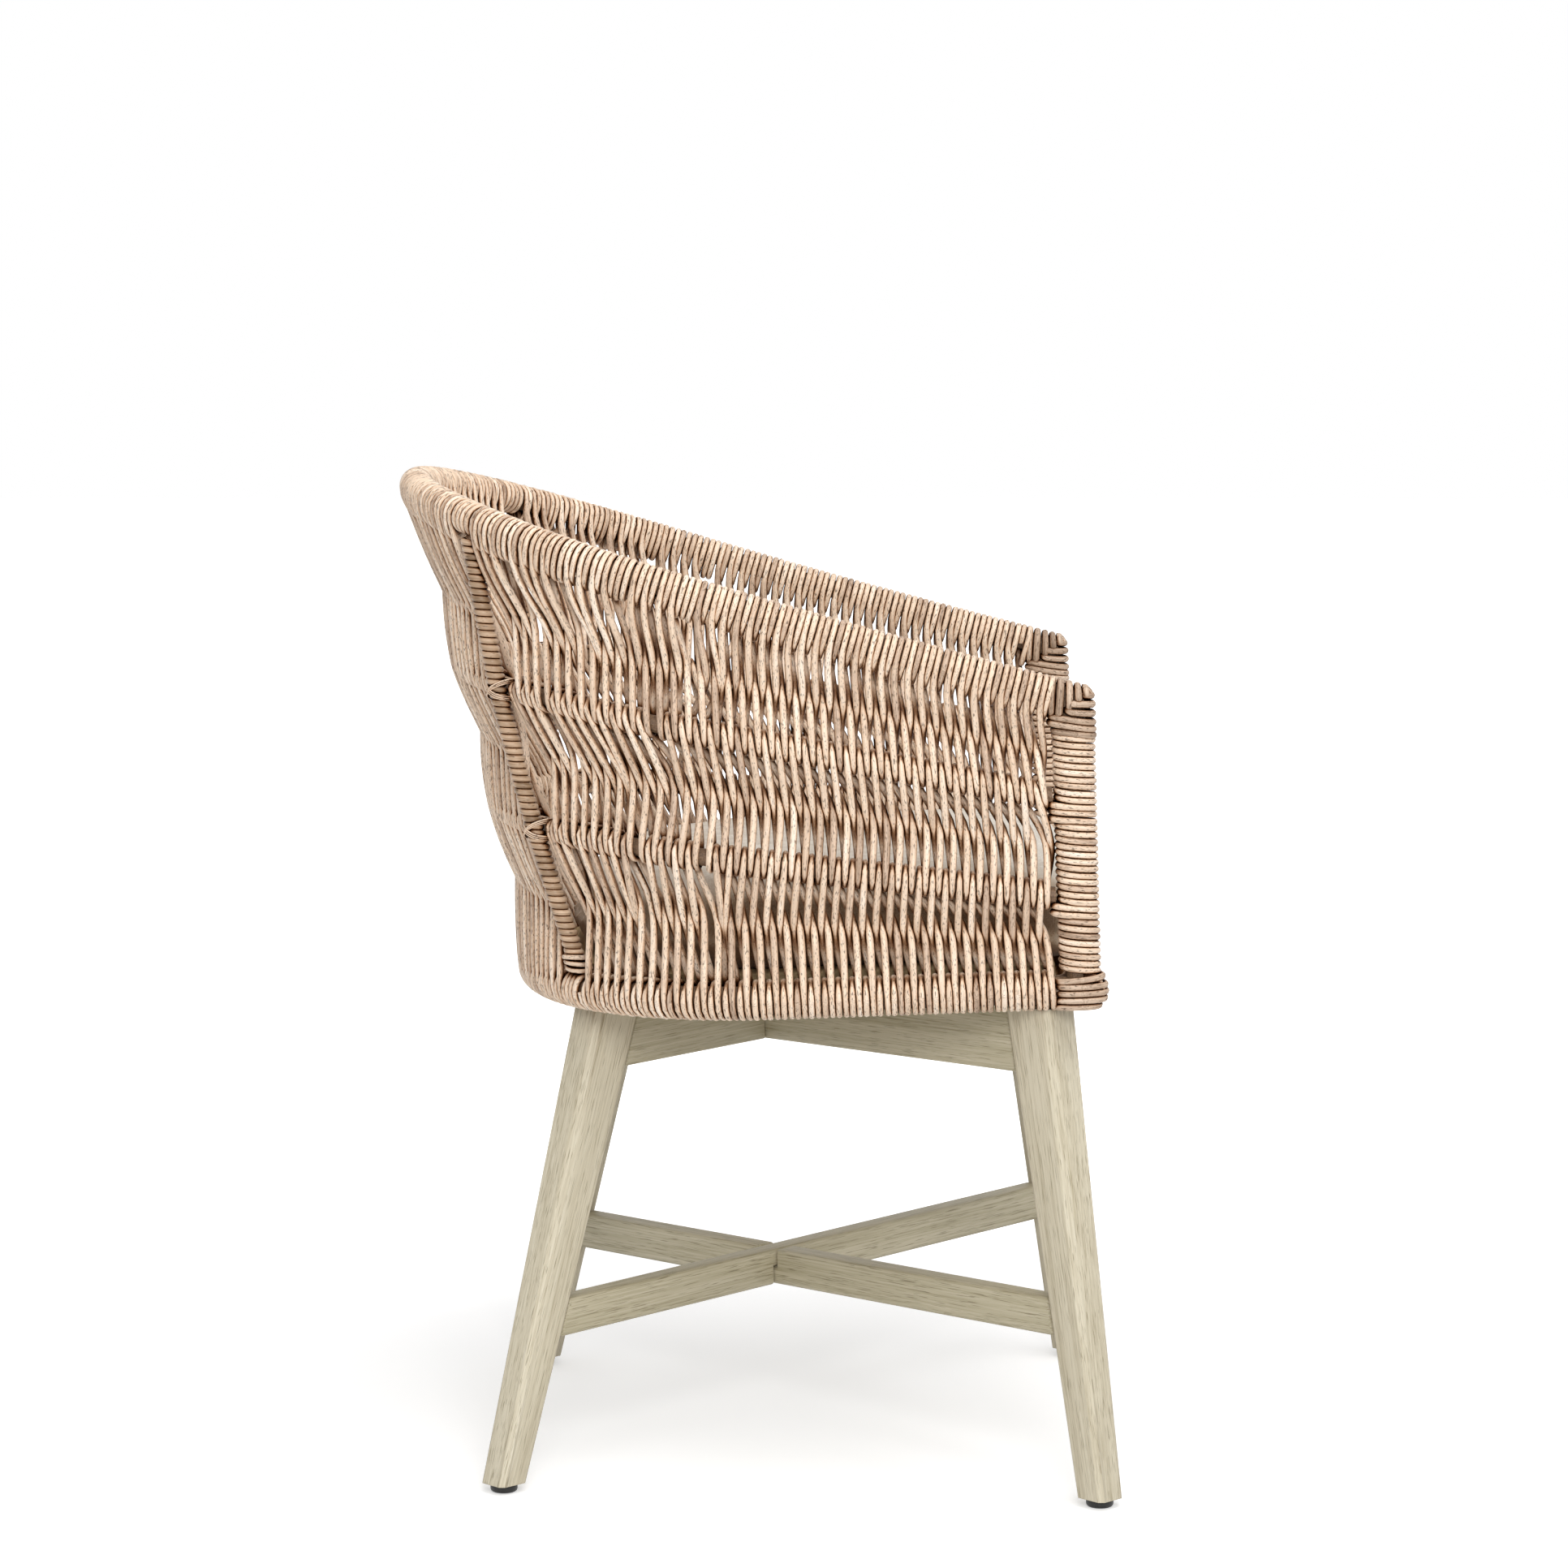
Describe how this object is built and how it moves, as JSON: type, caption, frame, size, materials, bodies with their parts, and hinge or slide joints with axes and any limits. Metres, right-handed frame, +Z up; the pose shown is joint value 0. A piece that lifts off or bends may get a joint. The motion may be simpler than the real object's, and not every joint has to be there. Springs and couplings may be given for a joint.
{
  "type": "woven cane tub chair",
  "caption": "Low tub chair with a woven cane shell that wraps round the seat, a loose cushion, and a splayed timber base with crossed rails and crossed stretchers.",
  "frame": {"origin": "on the floor, in the middle of the chair's box", "axes": "+Z up, the chair faces -Y, +X is the sitter's left"},
  "size_m": [0.548, 0.5906, 0.8112],
  "materials": {
    "cane_weave": "woven, matte",
    "cane_wrap": "wound strand, matte",
    "cane_pole": "satin",
    "timber": "washed, satin",
    "board": "raw",
    "linen": "woven, matte",
    "black_glide": "matte",
    "screw_steel": "bright"
  },
  "bodies": {
    "chair": {"bottom_binding": "cane_wrap", "bottom_corner_binding_left": "cane_wrap", "bottom_corner_binding_right": "cane_wrap", "bottom_ring": "cane_pole", "front_post_left": "cane_pole", "front_post_right": "cane_pole", "front_rail": "cane_pole", "front_rail_binding": "cane_wrap", "glide_front_left": "black_glide", "glide_front_right": "black_glide", "glide_rear_left": "black_glide", "glide_rear_right": "black_glide", "leg_front_left": "timber", "leg_front_right": "timber", "leg_rear_left": "timber", "leg_rear_right": "timber", "lower_ring": "cane_pole", "lower_stretcher_a": "timber", "lower_stretcher_b": "timber", "post_winding_left": "cane_wrap", "post_winding_right": "cane_wrap", "rail_dowel_front_left": "board", "rail_dowel_front_right": "board", "rail_dowel_rear_left": "board", "rail_dowel_rear_right": "board", "rear_rib_left": "cane_pole", "rear_rib_right": "cane_pole", "rim_binding": "cane_wrap", "rim_pole": "cane_pole", "seat_bearer_front": "timber", "seat_bearer_rear": "timber", "seat_deck": "board", "seat_screw_front_left": "screw_steel", "seat_screw_front_right": "screw_steel", "seat_screw_rear_left": "screw_steel", "seat_screw_rear_right": "screw_steel", "stretcher_dowel_front_left": "board", "stretcher_dowel_front_right": "board", "stretcher_dowel_rear_left": "board", "stretcher_dowel_rear_right": "board", "top_corner_binding_left": "cane_wrap", "top_corner_binding_right": "cane_wrap", "upper_rail_a": "timber", "upper_rail_b": "timber", "upper_ring": "cane_pole", "weave_lower_back": "cane_weave", "weave_lower_left": "cane_weave", "weave_lower_right": "cane_weave", "weave_middle_back": "cane_weave", "weave_middle_left": "cane_weave", "weave_middle_right": "cane_weave", "weave_upper_back": "cane_weave", "weave_upper_left": "cane_weave", "weave_upper_right": "cane_weave"},
    "cushion": {"seat_cushion": "linen"}
  },
  "joints": [
    {"name": "cushion_lift", "type": "slide", "parent": "chair", "child": "cushion", "axis": [0, 0, 1], "range_m": [0, 0.4]}
  ]
}
